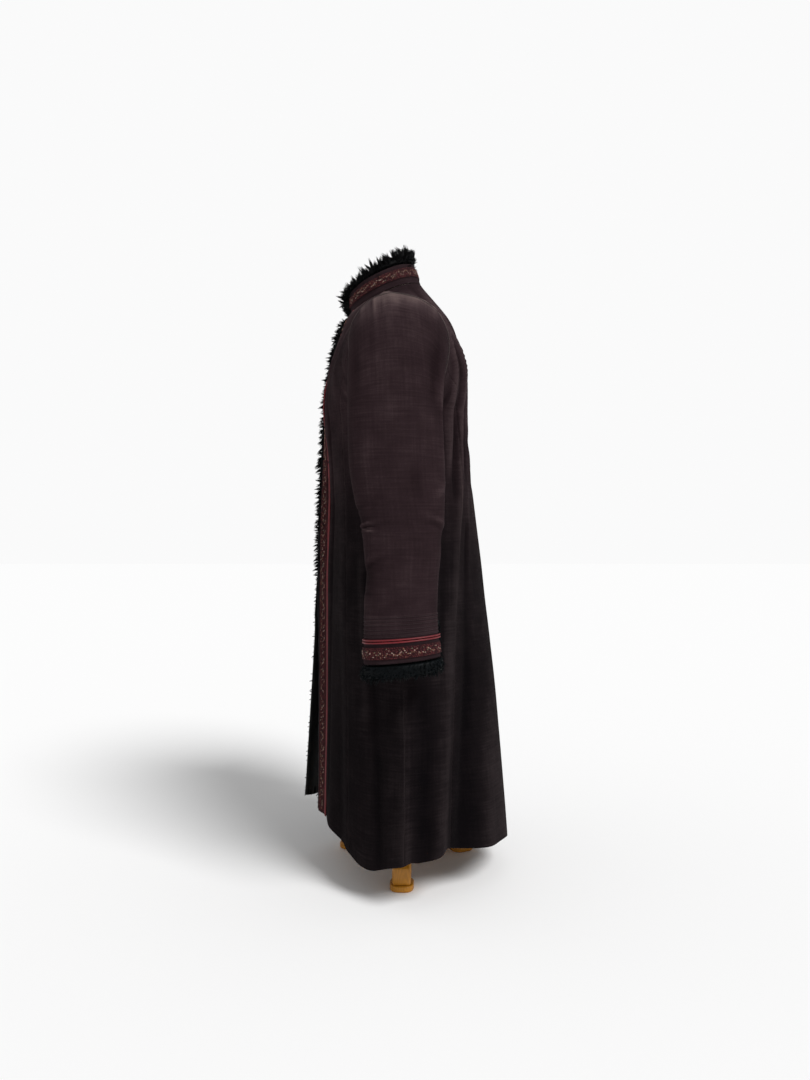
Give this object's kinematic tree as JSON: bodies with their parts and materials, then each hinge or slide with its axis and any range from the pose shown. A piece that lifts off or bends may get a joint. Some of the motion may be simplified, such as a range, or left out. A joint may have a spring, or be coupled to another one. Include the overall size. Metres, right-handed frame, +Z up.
{
  "type": "long fur-lined coat on a limbless dress form",
  "caption": "Long stand-collared cord coat with fur edging, braid and piping, worn by a limbless dress form on a low wooden tripod stand.",
  "frame": {"origin": "on the floor, under the middle of the whole piece", "axes": "+Z up, the wearer faces -Y, the wearer's left is +X"},
  "size_m": [0.616, 0.4089, 1.2075],
  "materials": {
    "cord_cloth": "napped velveteen cord",
    "braid": "woven braid",
    "piping": "satin cord",
    "fur": "dense fur",
    "form_cover": "plain cotton cover",
    "pole_steel": "brushed",
    "stand_wood": "satin varnish"
  },
  "bodies": {
    "root": {"front_left": "cord_cloth", "side_front_left": "cord_cloth", "side_back_left": "cord_cloth", "braid_front_left": "braid", "piping_front_left": "piping", "front_right": "cord_cloth", "side_front_right": "cord_cloth", "side_back_right": "cord_cloth", "braid_front_right": "braid", "piping_front_right": "piping", "back": "cord_cloth", "sleeve_upper_left": "cord_cloth", "sleeve_under_left": "cord_cloth", "braid_cuff_left": "braid", "piping_cuff_left": "piping", "fur_cuff_left": "fur", "fur_slit_left": "fur", "sleeve_upper_right": "cord_cloth", "sleeve_under_right": "cord_cloth", "braid_cuff_right": "braid", "piping_cuff_right": "piping", "fur_cuff_right": "fur", "fur_slit_right": "fur", "collar": "cord_cloth", "braid_collar": "braid", "fur_collar": "fur", "fur_front_left": "fur", "fur_front_right": "fur", "dress_form": "form_cover", "pole": "pole_steel", "hub": "stand_wood", "leg_1": "stand_wood", "foot_pad_1": "stand_wood", "leg_2": "stand_wood", "foot_pad_2": "stand_wood", "leg_3": "stand_wood", "foot_pad_3": "stand_wood"}
  },
  "joints": []
}
